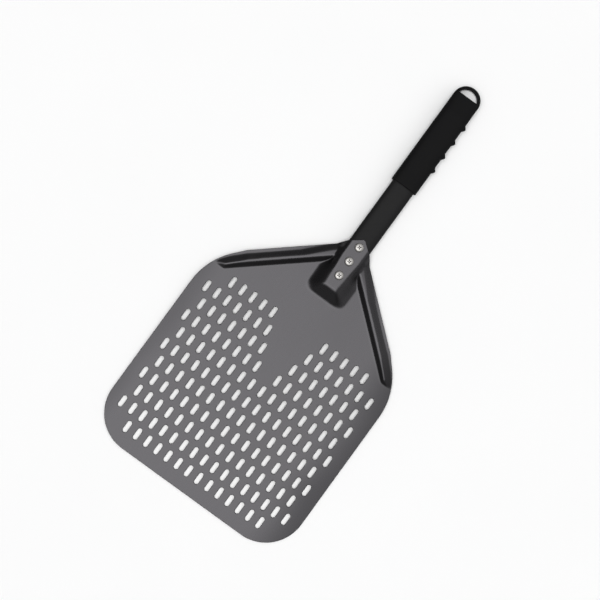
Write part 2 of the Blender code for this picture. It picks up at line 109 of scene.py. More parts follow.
RIB_HEIGHT = 0.0032
RIB_OUTER_FOOT = 0.0050
RIB_OUTER_SLOPE = 0.0056
RIB_CREST_INNER = 0.0137
RIB_INNER_FOOT = 0.0193
RIB_END_Y = 0.2425
RIB_END_SLOPE = 0.0070
RIB_END_PINCH = 0.60              # widening of the outer slope that narrows the crest's end
RIB_PINCH_YS = (0.2520, 0.2800)
RIB_FOOT_AT_ARC = 0.0020
RIB_FOOT_AT_NECK = 0.0010
RIB_ARC_Y = 0.2480
RIB_LEAN = 0.090                  # outward lean of the ribs beside the neck
RIB_LEAN_START_Y = 0.2930
RIB_NECK_START_Y = 0.3130
RIB_NECK_END_Y = 0.3400

SCREW_YS = {"front": 0.3161, "middle": 0.3364, "rear": 0.3567}
SCREW_TURN_DEG = {"front": 38.0, "middle": 32.0, "rear": 35.0}
SCREW_HEAD_RADIUS = 0.0056
SCREW_HEAD_RIM = 0.0005
SCREW_HEAD_DOME = 0.0019
SCREW_CROWN_POWER = 4.0           # 2 for a round dome, more for a flatter crown
SCREW_RIM_CHAMFER = 0.0001
SCREW_SHANK_RADIUS = 0.0020
SCREW_TIP_Z = 0.0010
SCREW_TIP_CHAMFER = 0.0005
SCREW_CLEARANCE = 0.00005         # between the head and the sheet
RECESS_DEPTH = 0.0016
RECESS_FLOOR = (0.0006, 0.00030)  # half span and half width of the cross at its bottom
RECESS_MOUTH = (0.0033, 0.00090)  # and at the cutter's top
RECESS_OVERCUT = 0.0006           # height of the cutter's top over the crown
SHANK_HOLE_RADIUS = 0.0023

NUT_BARREL_RADIUS = 0.0030
NUT_BORE_RADIUS = 0.0023
NUT_HEAD_RADIUS = 0.0050
NUT_HEAD_HEIGHT = 0.0013
NUT_SLOT_HALF_WIDTH = 0.0006
NUT_SLOT_DEPTH = 0.0006
NUT_ROUNDING = 0.0007
NUT_RIM_CHAMFER = 0.0002
NUT_HOLE_RADIUS = 0.0033

TUBE_HALF_WIDTH = 0.0150
TUBE_HALF_HEIGHT = 0.0060
TUBE_WALL = 0.0012
TUBE_FRONT_HALF_WIDTH = 0.0118
TUBE_FRONT_Y = 0.3067
TUBE_END_Y = 0.5630
TUBE_POWER = 3.0
TUBE_CENTRE_Z = 0.0027
TUBE_CHAMFER = 0.0002

PLUG_FLANGE = 0.0017
PLUG_ROUNDING = 0.0007
PLUG_STRAIGHT = 0.0038            # length of the spigot before its tapered tip
PLUG_SPIGOT = 0.0043              # and with it
PLUG_TIP_INSET = 0.0005

GRIP_START_Y = 0.4468
GRIP_HALF_WIDTH = 0.0174
GRIP_HALF_HEIGHT = 0.00825
GRIP_END_HALF_HEIGHT = 0.0052
GRIP_TAPER_START_Y = 0.5525
GRIP_POWER = 3.2
GRIP_LIP = 0.0010
GRIP_END_CENTRE_Y = OVERALL_LENGTH - GRIP_HALF_WIDTH
RIDGE_YS = (0.4831, 0.5034, 0.5239, 0.5448)
RIDGE_HALF_LENGTH = 0.0041
RIDGE_HEIGHT = 0.0030
RIDGE_SOFTNESS = 0.02             # 0 for a sharp crest
RIDGE_WRAP_POWER = 1.5            # how fast a ridge fades round the grip's side
HANG_HOLE_RADIUS = 0.0128
HANG_HOLE_FLAT_Y = 0.5776
HANG_HOLE_CORNER = 0.0009
HANG_HOLE_ROUNDING = 0.0009

# ---------------------------------------------------------------- detail that only the looks have
EDGE_REACH = 0.00050              # how far the outline's rounded edge reaches in
SLOT_EDGE_REACH = 0.00080         # wider round a punched slot
EDGE_DEPTH = 0.00032              # depth of the rounding
EDGE_STEP = 0.0013                # spacing of the points along the outline
SKIN_STEP = 0.00115               # spacing of the points on the pressed relief
SLOT_END_STEPS = 10
GRID_STEP = 0.0004                # height grid that the press radii are worked out on
PRESS_SOFT = 0.0011               # spread of the fold at a foot
PRESS_CRISP = 0.00075             # and at a crest
JOIN_FILLET = 0.0036              # fillet between the ribs and the hump
FIT = 0.0001                      # clearance that shows between pieces that touch
GAP = 0.0003                      # and the wider one that the CAD keeps
OVERCUT = 0.002                   # how far a cutter reaches past what it cuts
ROUND_STEPS = 96
GRIP_STEPS = 128
DRILL_STEPS = 48
DOME_STEPS = 24
NUT_ROUNDING_STEPS = 8
SMOOTH_DEG = 38.0                 # edges sharper than this stay sharp
GRIP_SMOOTH_DEG = 42.0

# Rings of the tube: close together where it is drilled, wider apart behind it.
TUBE_END_MARGIN = 0.002
TUBE_DRILLED_END_Y = 0.364
TUBE_PLAIN_START_Y = 0.370
TUBE_DRILLED_RINGS = 30
TUBE_PLAIN_RINGS = 24

# Sections of the grip: even along it, closer over a ridge and over the round end.
GRIP_FIRST_SECTION = 0.003
GRIP_SECTION_STEP = 0.0013
RIDGE_MARGIN = 0.0008
RIDGE_SECTIONS = 25
END_SECTIONS = 34
END_LAST_DEG = 88.5               # just short of the pole

# Extent of the pressed relief, and what counts as flat in it.
RELIEF_MARGIN_X = 0.002
RELIEF_MARGIN_Y = 0.006
RELIEF_BORDER_STEPS = 20
FLAT_HEIGHT = 4e-6
FLAT_TILT = 1e-6
HOLE_LIMIT = 0.985                # share of a hole's radius inside which triangles are dropped


# ---------------------------------------------------------------- small geometry helpers
def ramp(value, start, end, low, high):
    """Straight line from low at start to high at end, level outside."""
    return low + (high - low) * np.clip((value - start) / (end - start), 0.0, 1.0)


def arc(centre_x, centre_y, radius, start_deg, end_deg, steps):
    points = []
    for i in range(steps + 1):
        angle = math.radians(start_deg + (end_deg - start_deg) * i / steps)
        points.append((centre_x + radius * math.cos(angle), centre_y + radius * math.sin(angle)))
    return points


def fillet(before, corner, after, radius, steps=8):
    """Arc of a given radius that rounds off one corner of a flat outline."""
    corner = Vector(corner)
    back = (Vector(before) - corner).normalized()
    on = (Vector(after) - corner).normalized()
    half_angle = back.angle(on) / 2
    centre = corner + (back + on).normalized() * (radius / math.sin(half_angle))
    start = corner + back * (radius / math.tan(half_angle)) - centre
    end = corner + on * (radius / math.tan(half_angle)) - centre
    turn = start.angle_signed(end)
    return [tuple(centre + Matrix.Rotation(-turn * i / steps, 2) @ start) for i in range(steps + 1)]


def resample(points, step):
    """Points at an even spacing along a polyline, both ends kept."""
    points = np.array(points)
    travelled = np.concatenate([[0.0], np.cumsum(np.linalg.norm(np.diff(points, axis=0), axis=1))])
    count = max(2, round(travelled[-1] / step) + 1)
    wanted = np.linspace(0.0, travelled[-1], count)
    return np.column_stack([np.interp(wanted, travelled, points[:, k]) for k in (0, 1)])


def blur(grid, sigma):
    """Separable Gaussian blur; sigma is in grid steps."""
    reach = int(math.ceil(3.5 * sigma))
    weights = np.exp(-0.5 * (np.arange(-reach, reach + 1) / sigma) ** 2)
    weights /= weights.sum()
    for axis in (0, 1):
        padding = [(reach, reach) if axis == k else (0, 0) for k in (0, 1)]
        padded = np.pad(grid, padding, mode="edge")
        grid = sum(weight * np.take(padded, range(i, i + grid.shape[axis]), axis=axis)
                   for i, weight in enumerate(weights))
    return grid


# ---------------------------------------------------------------- objects
def make_mesh(name, points, faces, smooth_angle=None):
    mesh = bpy.data.meshes.new(name)
    mesh.from_pydata([tuple(point) for point in points], [], faces)
    mesh.validate()
    mesh.shade_smooth()
    if smooth_angle:
        mesh.set_sharp_from_angle(angle=math.radians(smooth_angle))
    return mesh


def add_piece(name, mesh, place=(0.0, 0.0, 0.0), turn_deg=0.0):
    made = bpy.data.objects.new(name, mesh)
    made.location = ORIGIN + Vector(place)
    made.rotation_euler.z = math.radians(turn_deg)
    bpy.context.scene.collection.objects.link(made)
    return made


def hand_over(piece, node, finish):
    """Give a finished piece its material and its place in the frame."""
    piece.data.materials.clear()
    piece.data.materials.append(finish)
    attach(piece, "root")
    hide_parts(node)


def cut(piece, cutters, smooth_angle=SMOOTH_DEG):
    """Boolean difference, applied; the cutters are removed."""
    for cutter in cutters:
        modifier = piece.modifiers.new(cutter.name, "BOOLEAN")
        modifier.operation = "DIFFERENCE"
        modifier.solver = "EXACT"
        modifier.object = cutter
    bpy.context.view_layer.update()
    evaluated = piece.evaluated_get(bpy.context.evaluated_depsgraph_get())
    piece.data = bpy.data.meshes.new_from_object(evaluated)
    piece.modifiers.clear()
    for cutter in cutters:
        bpy.data.objects.remove(cutter, do_unlink=True)
    piece.data.shade_smooth()
    piece.data.set_sharp_from_angle(angle=math.radians(smooth_angle))


def loft_faces(ring_count, steps, closed=False):
    """Faces that skin a row of equal rings: ends capped, or the last ring joined to the first."""
    faces = []
    pairs = [(k, k + 1) for k in range(ring_count - 1)]
    if closed:
        pairs.append((ring_count - 1, 0))
    for near, far in pairs:
        for i in range(steps):
            j = (i + 1) % steps
            faces.append((near * steps + i, far * steps + i, far * steps + j, near * steps + j))
    if not closed:
        faces.append(tuple(range(steps)))
        faces.append(tuple((ring_count - 1) * steps + i for i in reversed(range(steps))))
    return faces


def loft(name, rings, closed=False):
    """Mesh through rings of points; the winding is set so that the faces point out."""
    points = np.concatenate([np.array(ring) for ring in rings])
    faces = loft_faces(len(rings), len(rings[0]), closed)
    if signed_volume(points, faces) < 0:
        faces = [face[::-1] for face in faces]
    return make_mesh(name, points, faces, SMOOTH_DEG)


def signed_volume(points, faces):
    total = 0.0
    for face in faces:
        first = points[face[0]]
        for near, far in zip(face[1:], face[2:]):
            total += np.dot(first, np.cross(points[near], points[far]))
    return total / 6


def turned(name, profile, steps=ROUND_STEPS):
    """Lathe a (radius, z) profile about the z axis."""
    angles = np.arange(steps) * math.tau / steps
    rings = []
    for radius, z in profile:
        rings.append(np.column_stack([radius * np.cos(angles), radius * np.sin(angles),
                                      np.full(steps, z)]))
    return loft(name, rings)


def oval(half_width, half_height, power, steps):
    """Superellipse as (x, height) arrays, with the angle of each point."""
    angles = (np.arange(steps) + 0.5) * math.tau / steps
    x = half_width * np.sign(np.cos(angles)) * np.abs(np.cos(angles)) ** (2 / power)
    z = half_height * np.sign(np.sin(angles)) * np.abs(np.sin(angles)) ** (2 / power)
    return x, z, angles


# ---------------------------------------------------------------- blade: outline and slots
def upper_edge():
    """Right-hand edge from the end of the straight side to the tongue's apex, corners rounded."""
    bend = arc(HALF_WIDTH - UPPER_RADIUS, SIDE_END_Y, UPPER_RADIUS, 0, UPPER_ARC_DEG, 40)
    apex = (0.0, TONGUE_APEX_Y)
    mirrored = (-TONGUE_CORNER[0], TONGUE_CORNER[1])
    points = bend + fillet(bend[-1], SHOULDER_OUTER, SHOULDER_INNER, SHOULDER_OUTER_RADIUS)
    points += fillet(SHOULDER_OUTER, SHOULDER_INNER, TONGUE_CORNER, SHOULDER_INNER_RADIUS)
    points += fillet(SHOULDER_INNER, TONGUE_CORNER, apex, TONGUE_CORNER_RADIUS)
    rounded_apex = fillet(TONGUE_CORNER, apex, mirrored, TONGUE_APEX_RADIUS)
    return points + [point for point in rounded_apex if point[0] >= -1e-9]


def blade_outline():
    """Closed outline, counter-clockwise from the middle of the tip."""
    tip = arc(HALF_WIDTH - TIP_RADIUS, TIP_RADIUS, TIP_RADIUS, -90, 0, 40)
    right = resample([(0.0, 0.0)] + tip + upper_edge(), EDGE_STEP)
    left = right[-2:0:-1] * np.array([-1.0, 1.0])
    return np.concatenate([right, left])


def slot_centres():
    """Staggered rows: even rows use odd half steps, odd rows use even ones."""
    centres = []
    for row in range(SLOT_ROWS):
        y = SLOT_FIRST_ROW_Y - row * SLOT_ROW_PITCH
        reach = SLOT_END_ROW_REACH if row in (0, SLOT_ROWS - 1) else SLOT_REACH
        for half_step in range(-reach, reach + 1):
            on_lattice = (half_step + row) % 2 == 1
            in_notch = abs(half_step) <= SLOT_NOTCH - row
            if on_lattice and not in_notch:
                centres.append((half_step * SLOT_HALF_STEP, y))
    return centres


def open_edge(points):
    """A cut edge as (points, directions away from the metal); the metal is on the left."""
    run = np.roll(points, -1, axis=0) - np.roll(points, 1, axis=0)
    away = np.column_stack([run[:, 1], -run[:, 0]])
    return points, away / np.linalg.norm(away, axis=1, keepdims=True)


def slot_edge(centre):
    """One slot's edge, clockwise, so that the metal is on the left."""
    reach = (SLOT_LENGTH - SLOT_WIDTH) / 2
    points = []
    away = []
    for end, start_deg in ((1, 0), (-1, 180)):
        for i in range(SLOT_END_STEPS + 1):
            angle = math.radians(start_deg + 180 * i / SLOT_END_STEPS)
            direction = np.array([math.cos(angle), math.sin(angle)])
            points.append(np.array(centre) + (0.0, end * reach) + direction * SLOT_WIDTH / 2)
            away.append(-direction)
    return np.array(points)[::-1], np.array(away)[::-1]


def hole_edge(y, radius, steps=24):
    angles = -np.arange(steps) * math.tau / steps
    directions = np.column_stack([np.cos(angles), np.sin(angles)])
    return np.array([0.0, y]) + directions * radius, -directions


# ---------------------------------------------------------------- blade: pressed relief
SHOULDER_RUN = np.array(SHOULDER_INNER) - np.array(SHOULDER_OUTER)
SHOULDER_DIR = SHOULDER_RUN / np.linalg.norm(SHOULDER_RUN)
SHOULDER_INWARD = np.array([-SHOULDER_DIR[1], SHOULDER_DIR[0]])


def edge_distance(x, y):
    """Distance inside the right-hand upper edge; negative outside the blade."""
    edge = np.array(upper_edge())
    nearest = np.full(np.shape(x), 1.0)
    side = np.ones(np.shape(x))
    for start, end in zip(edge[:-1], edge[1:]):
        run = end - start
        length = np.hypot(*run)
        if length < 1e-7:
            continue
        share = np.clip(((x - start[0]) * run[0] + (y - start[1]) * run[1]) / length ** 2, 0.0, 1.0)
        off_x = x - start[0] - share * run[0]
        off_y = y - start[1] - share * run[1]
        distance = np.hypot(off_x, off_y)
        closer = distance < nearest
        nearest = np.where(closer, distance, nearest)
        side = np.where(closer, np.sign(run[0] * off_y - run[1] * off_x), side)
    return nearest * side


def hump_relief(x, y):
    """Sharp-edged height of the hump, from a squarish foot to a narrow flat top."""
    top = ramp(y, HUMP_TOP_Y, HUMP_TOP_WIDE_Y, HUMP_TOP_NARROW, HUMP_TOP_WIDE)
    foot = ramp(y, HUMP_FOOT_WIDE_Y, HUMP_FOOT_NARROW_Y, HUMP_FOOT_WIDE, HUMP_FOOT_NARROW)
    across = np.maximum(0.0, x - top) / (foot - top)
    along = np.maximum(0.0, HUMP_TOP_Y - y) / (HUMP_TOP_Y - HUMP_FOOT_Y)
    foot_reach = (across ** HUMP_FOOT_POWER + along ** HUMP_FOOT_POWER) ** (1 / HUMP_FOOT_POWER)
    top_reach = np.hypot(across, along)
    rounding = HUMP_TOP_ROUNDING * (top_reach - foot_reach) * (1 - foot_reach) ** 2
    fall = np.clip(1 - foot_reach - rounding, 0.0, 1.0)
    swept = fall * fall * (3 - 2 * fall)
    return HUMP_HEIGHT * (fall + (swept - fall) * HUMP_FLANK_SWEEP)


def rib_relief(x, y):
    """Sharp-edged height of a shoulder's rib; beside the neck it leans down towards the edge."""
    outer_foot = ramp(y, RIB_ARC_Y, SHOULDER_OUTER[1], RIB_FOOT_AT_ARC, RIB_OUTER_FOOT)
    outer_foot -= ramp(y, RIB_NECK_START_Y, RIB_NECK_END_Y, 0.0, RIB_OUTER_FOOT - RIB_FOOT_AT_NECK)
    inward = ((x - SHOULDER_OUTER[0]) * SHOULDER_INWARD[0]
              + (y - SHOULDER_OUTER[1]) * SHOULDER_INWARD[1])
    outer_slope = RIB_OUTER_SLOPE * (1 + ramp(y, *RIB_PINCH_YS, RIB_END_PINCH, 0.0))
    outer = (edge_distance(x, y) - outer_foot) / outer_slope
    inner = (RIB_INNER_FOOT - inward) / (RIB_INNER_FOOT - RIB_CREST_INNER)
    end = (y - RIB_END_Y) / RIB_END_SLOPE
    rise = RIB_HEIGHT * np.clip(np.minimum(np.minimum(outer, inner), end), 0.0, 1.0)
    lean = ramp(y, RIB_LEAN_START_Y, RIB_NECK_END_Y, 0.0, RIB_LEAN)
    return rise + lean * np.clip(edge_distance(x, y), 0.0, RIB_CREST_INNER) * np.clip(inner, 0.0, 1.0)


def joined_relief(hump, rib):
    """The higher of the two, with a fillet where a rib runs into the hump's flank."""
    spread = JOIN_FILLET * np.clip(np.minimum(hump, rib) / RIB_HEIGHT, 1e-6, 1.0)
    near = np.clip(1 - np.abs(hump - rib) / spread, 0.0, 1.0)
    return np.maximum(hump, rib) + near * near * spread / 4


class Relief:
    """Pressed height of the sheet's underside, with folds rounded as a press tool leaves them."""

    def __init__(self):
        self.low = np.array([-RELIEF_MARGIN_X, RIB_END_Y - RELIEF_MARGIN_Y])
        high = np.array([HALF_WIDTH + RELIEF_MARGIN_X, TONGUE_APEX_Y + RELIEF_MARGIN_Y])
        border = RELIEF_BORDER_STEPS * GRID_STEP
        xs = np.arange(self.low[0] - border, high[0] + border, GRID_STEP)
        ys = np.arange(self.low[1] - border, high[1] + border, GRID_STEP)
        x, y = np.meshgrid(xs, ys, indexing="ij")
        x = np.abs(x)
        sharp = joined_relief(hump_relief(x, y), rib_relief(x, y))
        soft = blur(sharp, PRESS_SOFT / GRID_STEP)
        crisp = blur(sharp, PRESS_CRISP / GRID_STEP)
        level = np.clip(soft / RIB_HEIGHT, 0.0, 1.0)
        self.height = soft + (crisp - soft) * level * level * (3 - 2 * level)
        self.slope_x, self.slope_y = np.gradient(self.height, GRID_STEP)
        self.start = np.array([xs[0], ys[0]])

    def read(self, grid, points):
        """Bilinear value at points of the right half."""
        place = (points - self.start) / GRID_STEP
        place[:, 0] = np.clip(place[:, 0], 0, grid.shape[0] - 1.001)
        place[:, 1] = np.clip(place[:, 1], 0, grid.shape[1] - 1.001)
        base = place.astype(int)
        share = place - base
        i, j = base.T
        s, t = share.T
        low = grid[i, j] * (1 - t) + grid[i, j + 1] * t
        high = grid[i + 1, j] * (1 - t) + grid[i + 1, j + 1] * t
        return low * (1 - s) + high * s

    def surface(self, points):
        """Underside heights and upward normals at flat (x, y) points."""
        right = np.column_stack([np.abs(points[:, 0]), points[:, 1]])
        pressed = right[:, 1] > self.low[1]
        height = self.read(self.height, right.copy()) * pressed
        slope_x = self.read(self.slope_x, right.copy()) * np.sign(points[:, 0]) * pressed
        slope_y = self.read(self.slope_y, right.copy()) * pressed
        normals = np.column_stack([-slope_x, -slope_y, np.ones(len(points))])
        return height, normals / np.linalg.norm(normals, axis=1, keepdims=True)


# ---------------------------------------------------------------- blade: fine mesh
def inside_polygon(points, polygon):
    """Even-odd test of many points against one closed outline."""
    inside = np.zeros(len(points), bool)
    for (ax, ay), (bx, by) in zip(polygon, np.roll(polygon, -1, axis=0)):
        crosses = (ay > points[:, 1]) != (by > points[:, 1])
        if ay != by:
            reach = ax + (points[:, 1] - ay) * (bx - ax) / (by - ay)
            inside ^= crosses & (points[:, 0] < reach)
    return inside


def relief_points(relief, holes):
    """Staggered grid of points over the pressed part of the sheet."""
    rows = []
    row_step = SKIN_STEP * math.sqrt(3) / 2
    for k, y in enumerate(np.arange(relief.low[1], TONGUE_APEX_Y, row_step)):
        xs = np.arange(-HALF_WIDTH, HALF_WIDTH, SKIN_STEP) + (k % 2) * SKIN_STEP / 2
        rows.append(np.column_stack([xs, np.full(len(xs), y)]))
    points = np.concatenate(rows)
    height, normals = relief.surface(points)
    curved = (height > FLAT_HEIGHT) | (normals[:, 2] < 1 - FLAT_TILT)
    clear = edge_distance(np.abs(points[:, 0]), points[:, 1]) > EDGE_REACH + 0.5 * SKIN_STEP
    for y, radius in holes:
        clear &= np.hypot(points[:, 0], points[:, 1] - y) > radius + EDGE_REACH + 0.5 * SKIN_STEP
    return points[curved & clear]


def skin_faces(points, edges, outline, slots, holes):
    """Triangles of the flat blank: inside the outline and outside every slot and hole."""
    made, _, faces, origin, _, _ = delaunay_2d_cdt([Vector(p) for p in points], edges, [], 1, 1e-8)
    source = [ids[0] for ids in origin]
    faces = np.array([[source[i] for i in face] for face in faces])
    centres = points[faces].mean(axis=1)
    keep = inside_polygon(centres, outline)
    reach = (SLOT_LENGTH - SLOT_WIDTH) / 2
    limit = (SLOT_WIDTH / 2 + SLOT_EDGE_REACH) * HOLE_LIMIT
    for x, y in slots:
        along = np.maximum(0.0, np.abs(centres[:, 1] - y) - reach)
        keep &= np.hypot(centres[:, 0] - x, along) > limit
    for y, radius in holes:
        keep &= np.hypot(centres[:, 0], centres[:, 1] - y) > (radius + EDGE_REACH) * HOLE_LIMIT
    faces = faces[keep]
    a, b, c = (points[faces[:, k]] for k in range(3))
    turn = (b[:, 0] - a[:, 0]) * (c[:, 1] - a[:, 1])
    turn -= (b[:, 1] - a[:, 1]) * (c[:, 0] - a[:, 0])
    faces[turn < 0] = faces[turn < 0][:, ::-1]
    return faces


def build_blade():
    """Two pressed skins joined by rounded walls round the outline, the slots and the screw holes."""
    relief = Relief()
    slots = slot_centres()
    holes = [(y, SHANK_HOLE_RADIUS) for y in SCREW_YS.values()]
    loops = [open_edge(blade_outline())]
    loops += [slot_edge(centre) for centre in slots]
    loops += [hole_edge(y, radius) for y, radius in holes]

    rim = np.concatenate([points for points, _ in loops])
    away = np.concatenate([directions for _, directions in loops])
    reaches = [EDGE_REACH] + [SLOT_EDGE_REACH] * len(slots) + [EDGE_REACH] * len(holes)
    reach = np.concatenate([np.full((len(points), 1), value)
                            for (points, _), value in zip(loops, reaches)])
    loop_edges = []
    start = 0
    for points, _ in loops:
        count = len(points)
        loop_edges += [(start + i, start + (i + 1) % count) for i in range(count)]
        start += count
    skin = np.concatenate([rim - away * reach, relief_points(relief, holes)])
    outline = skin[:len(loops[0][0])]
    faces = skin_faces(skin, loop_edges, outline, slots, holes)

    height, normals = relief.surface(skin)
    bottom = np.column_stack([skin, height])
    points = [bottom, bottom + normals * SHEET]
    directions = [-normals, normals]
    edge_wear = [np.zeros(len(skin)), np.zeros(len(skin))]
    skin_count = len(skin)
    mesh_faces = [tuple(face[::-1]) for face in faces]
    mesh_faces += [tuple(face + skin_count) for face in faces]

    ring_starts = [0]
    for top, turns in ((False, (30, 60, 90)), (True, (90, 60, 30))):
        for degrees in turns:
            angle = math.radians(degrees)
            inset = reach * (1 - math.sin(angle))
            depth = EDGE_DEPTH * (1 - math.cos(angle))
            place = rim - away * inset
            lift, up = relief.surface(place)
            climb = -(up[:, 0] * away[:, 0] + up[:, 1] * away[:, 1]) / up[:, 2]
            out = np.column_stack([away, climb])
            out /= np.linalg.norm(out, axis=1, keepdims=True)
            thickness = SHEET - depth if top else depth
            ring_starts.append(sum(len(part) for part in points))
            points.append(np.column_stack([place, lift]) + up * thickness)
            lean = np.hypot(reach * math.cos(angle), EDGE_DEPTH * math.sin(angle))
            directions.append((up * reach * math.cos(angle) * (1 if top else -1)
                               + out * EDGE_DEPTH * math.sin(angle)) / lean)
            edge_wear.append(np.ones(len(rim)))
    ring_starts.append(skin_count)
    for near, far in zip(ring_starts, ring_starts[1:]):
        mesh_faces += [(near + i, near + j, far + j, far + i) for i, j in loop_edges]

    mesh = make_mesh("pressed_blade", np.concatenate(points), mesh_faces)
    wear = mesh.attributes.new("edge_wear", "FLOAT", "POINT")
    wear.data.foreach_set("value", np.concatenate(edge_wear).astype(np.float32))
    mesh.normals_split_custom_set_from_vertices(np.concatenate(directions))
    return add_piece("pressed_blade", mesh)


# ---------------------------------------------------------------- handle tube and its plug
def tube_half_width(y):
    share = float(np.clip((y - TUBE_FRONT_Y) / (HUMP_TOP_WIDE_Y - TUBE_FRONT_Y), 0.0, 1.0))
    return TUBE_FRONT_HALF_WIDTH + (TUBE_HALF_WIDTH - TUBE_FRONT_HALF_WIDTH) * share


def tube_ring(y, inset):
    x, z, _ = oval(tube_half_width(y) - inset, TUBE_HALF_HEIGHT - inset, TUBE_POWER, ROUND_STEPS)
    return np.column_stack([x, np.full(ROUND_STEPS, y), TUBE_CENTRE_Z + z])


def build_tube():
    """Flat-oval tube, open at both ends, drilled for the screws above and the nuts below."""
    ys = [TUBE_FRONT_Y + TUBE_CHAMFER]
    ys += list(np.linspace(TUBE_FRONT_Y + TUBE_END_MARGIN, TUBE_DRILLED_END_Y, TUBE_DRILLED_RINGS))
    ys += list(np.linspace(TUBE_PLAIN_START_Y, TUBE_END_Y - TUBE_END_MARGIN, TUBE_PLAIN_RINGS))
    ys += [TUBE_END_Y - TUBE_CHAMFER]
    rings = [tube_ring(TUBE_FRONT_Y, TUBE_CHAMFER)] + [tube_ring(y, 0.0) for y in ys]
    rings += [tube_ring(TUBE_END_Y, TUBE_CHAMFER), tube_ring(TUBE_END_Y, TUBE_WALL)]
    rings += [tube_ring(y, TUBE_WALL) for y in ys[::-1]]
    rings += [tube_ring(TUBE_FRONT_Y, TUBE_WALL)]
    tube = add_piece("coated_handle_tube", loft("coated_handle_tube", rings, closed=True))
    reach = TUBE_HALF_HEIGHT + OVERCUT
    profile = [(NUT_HOLE_RADIUS, -reach), (NUT_HOLE_RADIUS, 0.0),
               (SHANK_HOLE_RADIUS, 0.0), (SHANK_HOLE_RADIUS, reach)]
    drills = []
    for place, y in SCREW_YS.items():
        drill = turned("drill", profile, DRILL_STEPS)
        drills.append(add_piece("drill_" + place, drill, (0, y, TUBE_CENTRE_Z)))
    cut(tube, drills)
    return tube


def build_plug():
    """Moulded plug: a rounded flange over the tube's front end and a spigot inside it."""
    flange_back = TUBE_FRONT_Y - FIT
    flange_front = flange_back - PLUG_FLANGE
    rings = []
    for degrees in (0, 20, 40, 60, 80, 90):
        angle = math.radians(degrees)
        ring = tube_ring(TUBE_FRONT_Y, PLUG_ROUNDING * (1 - math.sin(angle)))
        ring[:, 1] = flange_front + PLUG_ROUNDING * (1 - math.cos(angle))
        rings.append(ring)
    for y, inset in ((flange_back, 0.0), (flange_back, TUBE_WALL + FIT),
                     (flange_back + PLUG_STRAIGHT, TUBE_WALL + FIT),
                     (flange_back + PLUG_SPIGOT, TUBE_WALL + PLUG_TIP_INSET)):
        ring = tube_ring(TUBE_FRONT_Y, inset)
        ring[:, 1] = y
        rings.append(ring)
    return add_piece("moulded_tube_plug", loft("moulded_tube_plug", rings))


# ---------------------------------------------------------------- fasteners
def cross_cutter(name, top, y, turn_deg):
    """Tapered cross that cuts the driver recess."""
    rings = []
    for z, (span, width) in ((top - RECESS_DEPTH, RECESS_FLOOR), (top + RECESS_OVERCUT, RECESS_MOUTH)):
        cross = [(span, -width), (span, width), (width, width), (width, span), (-width, span),
                 (-width, width), (-span, width), (-span, -width), (-width, -width),
                 (-width, -span), (width, -span), (width, -width)]
        rings.append([(x, across, z) for x, across in cross])
    return add_piece(name, loft(name, rings), (0, y, 0), turn_deg)


def build_screw(place, y):
    """Domed head with a cross recess on a plain shank."""
    seat = HUMP_HEIGHT + SHEET + SCREW_CLEARANCE
    profile = []
    for i in range(1, DOME_STEPS + 1):
        share = math.sin(math.radians(90 * i / DOME_STEPS))
        crown = math.sqrt(max(0.0, 1 - share ** SCREW_CROWN_POWER))
        profile.append((SCREW_HEAD_RADIUS * share, seat + SCREW_HEAD_RIM + SCREW_HEAD_DOME * crown))
    profile += [(SCREW_HEAD_RADIUS, seat + SCREW_RIM_CHAMFER),
                (SCREW_HEAD_RADIUS - SCREW_RIM_CHAMFER, seat),
                (SCREW_SHANK_RADIUS, seat),
                (SCREW_SHANK_RADIUS, SCREW_TIP_Z + SCREW_TIP_CHAMFER),
                (SCREW_SHANK_RADIUS - SCREW_TIP_CHAMFER, SCREW_TIP_Z)]
    name = "machined_screw_" + place
    screw = add_piece(name, turned(name, profile), (0, y, 0), SCREW_TURN_DEG[place])
    top = seat + SCREW_HEAD_RIM + SCREW_HEAD_DOME
    cut(screw, [cross_cutter("recess_" + place, top, y, SCREW_TURN_DEG[place])])
    return screw


def build_barrel_nut(place, y):
    """Sleeve nut: low rounded head with a slot under the tube, and a blind bore."""
    seat = TUBE_CENTRE_Z - TUBE_HALF_HEIGHT - FIT
    face = TUBE_CENTRE_Z - TUBE_HALF_HEIGHT - GAP - NUT_HEAD_HEIGHT
    top = TUBE_CENTRE_Z + TUBE_HALF_HEIGHT - TUBE_WALL - GAP
    profile = []
    for i in range(NUT_ROUNDING_STEPS + 1):
        angle = math.radians(90 * i / NUT_ROUNDING_STEPS)
        profile.append((NUT_HEAD_RADIUS - NUT_ROUNDING * (1 - math.sin(angle)),
                        face + NUT_ROUNDING * (1 - math.cos(angle))))
    profile += [(NUT_HEAD_RADIUS, seat), (NUT_BARREL_RADIUS, seat),
                (NUT_BARREL_RADIUS, top - NUT_RIM_CHAMFER), (NUT_BARREL_RADIUS - NUT_RIM_CHAMFER, top),
                (NUT_BORE_RADIUS, top), (NUT_BORE_RADIUS, 0.0)]
    name = "machined_barrel_nut_" + place
    nut = add_piece(name, turned(name, profile), (0, y, 0))
    reach = NUT_HEAD_RADIUS + OVERCUT / 2
    rings = []
    for z in (face - OVERCUT, face + NUT_SLOT_DEPTH):
        rings.append([(-reach, -NUT_SLOT_HALF_WIDTH, z), (reach, -NUT_SLOT_HALF_WIDTH, z),
                      (reach, NUT_SLOT_HALF_WIDTH, z), (-reach, NUT_SLOT_HALF_WIDTH, z)])
    cut(nut, [add_piece("nut_slot_" + place, loft("nut_slot", rings), (0, y, 0))])
    return nut


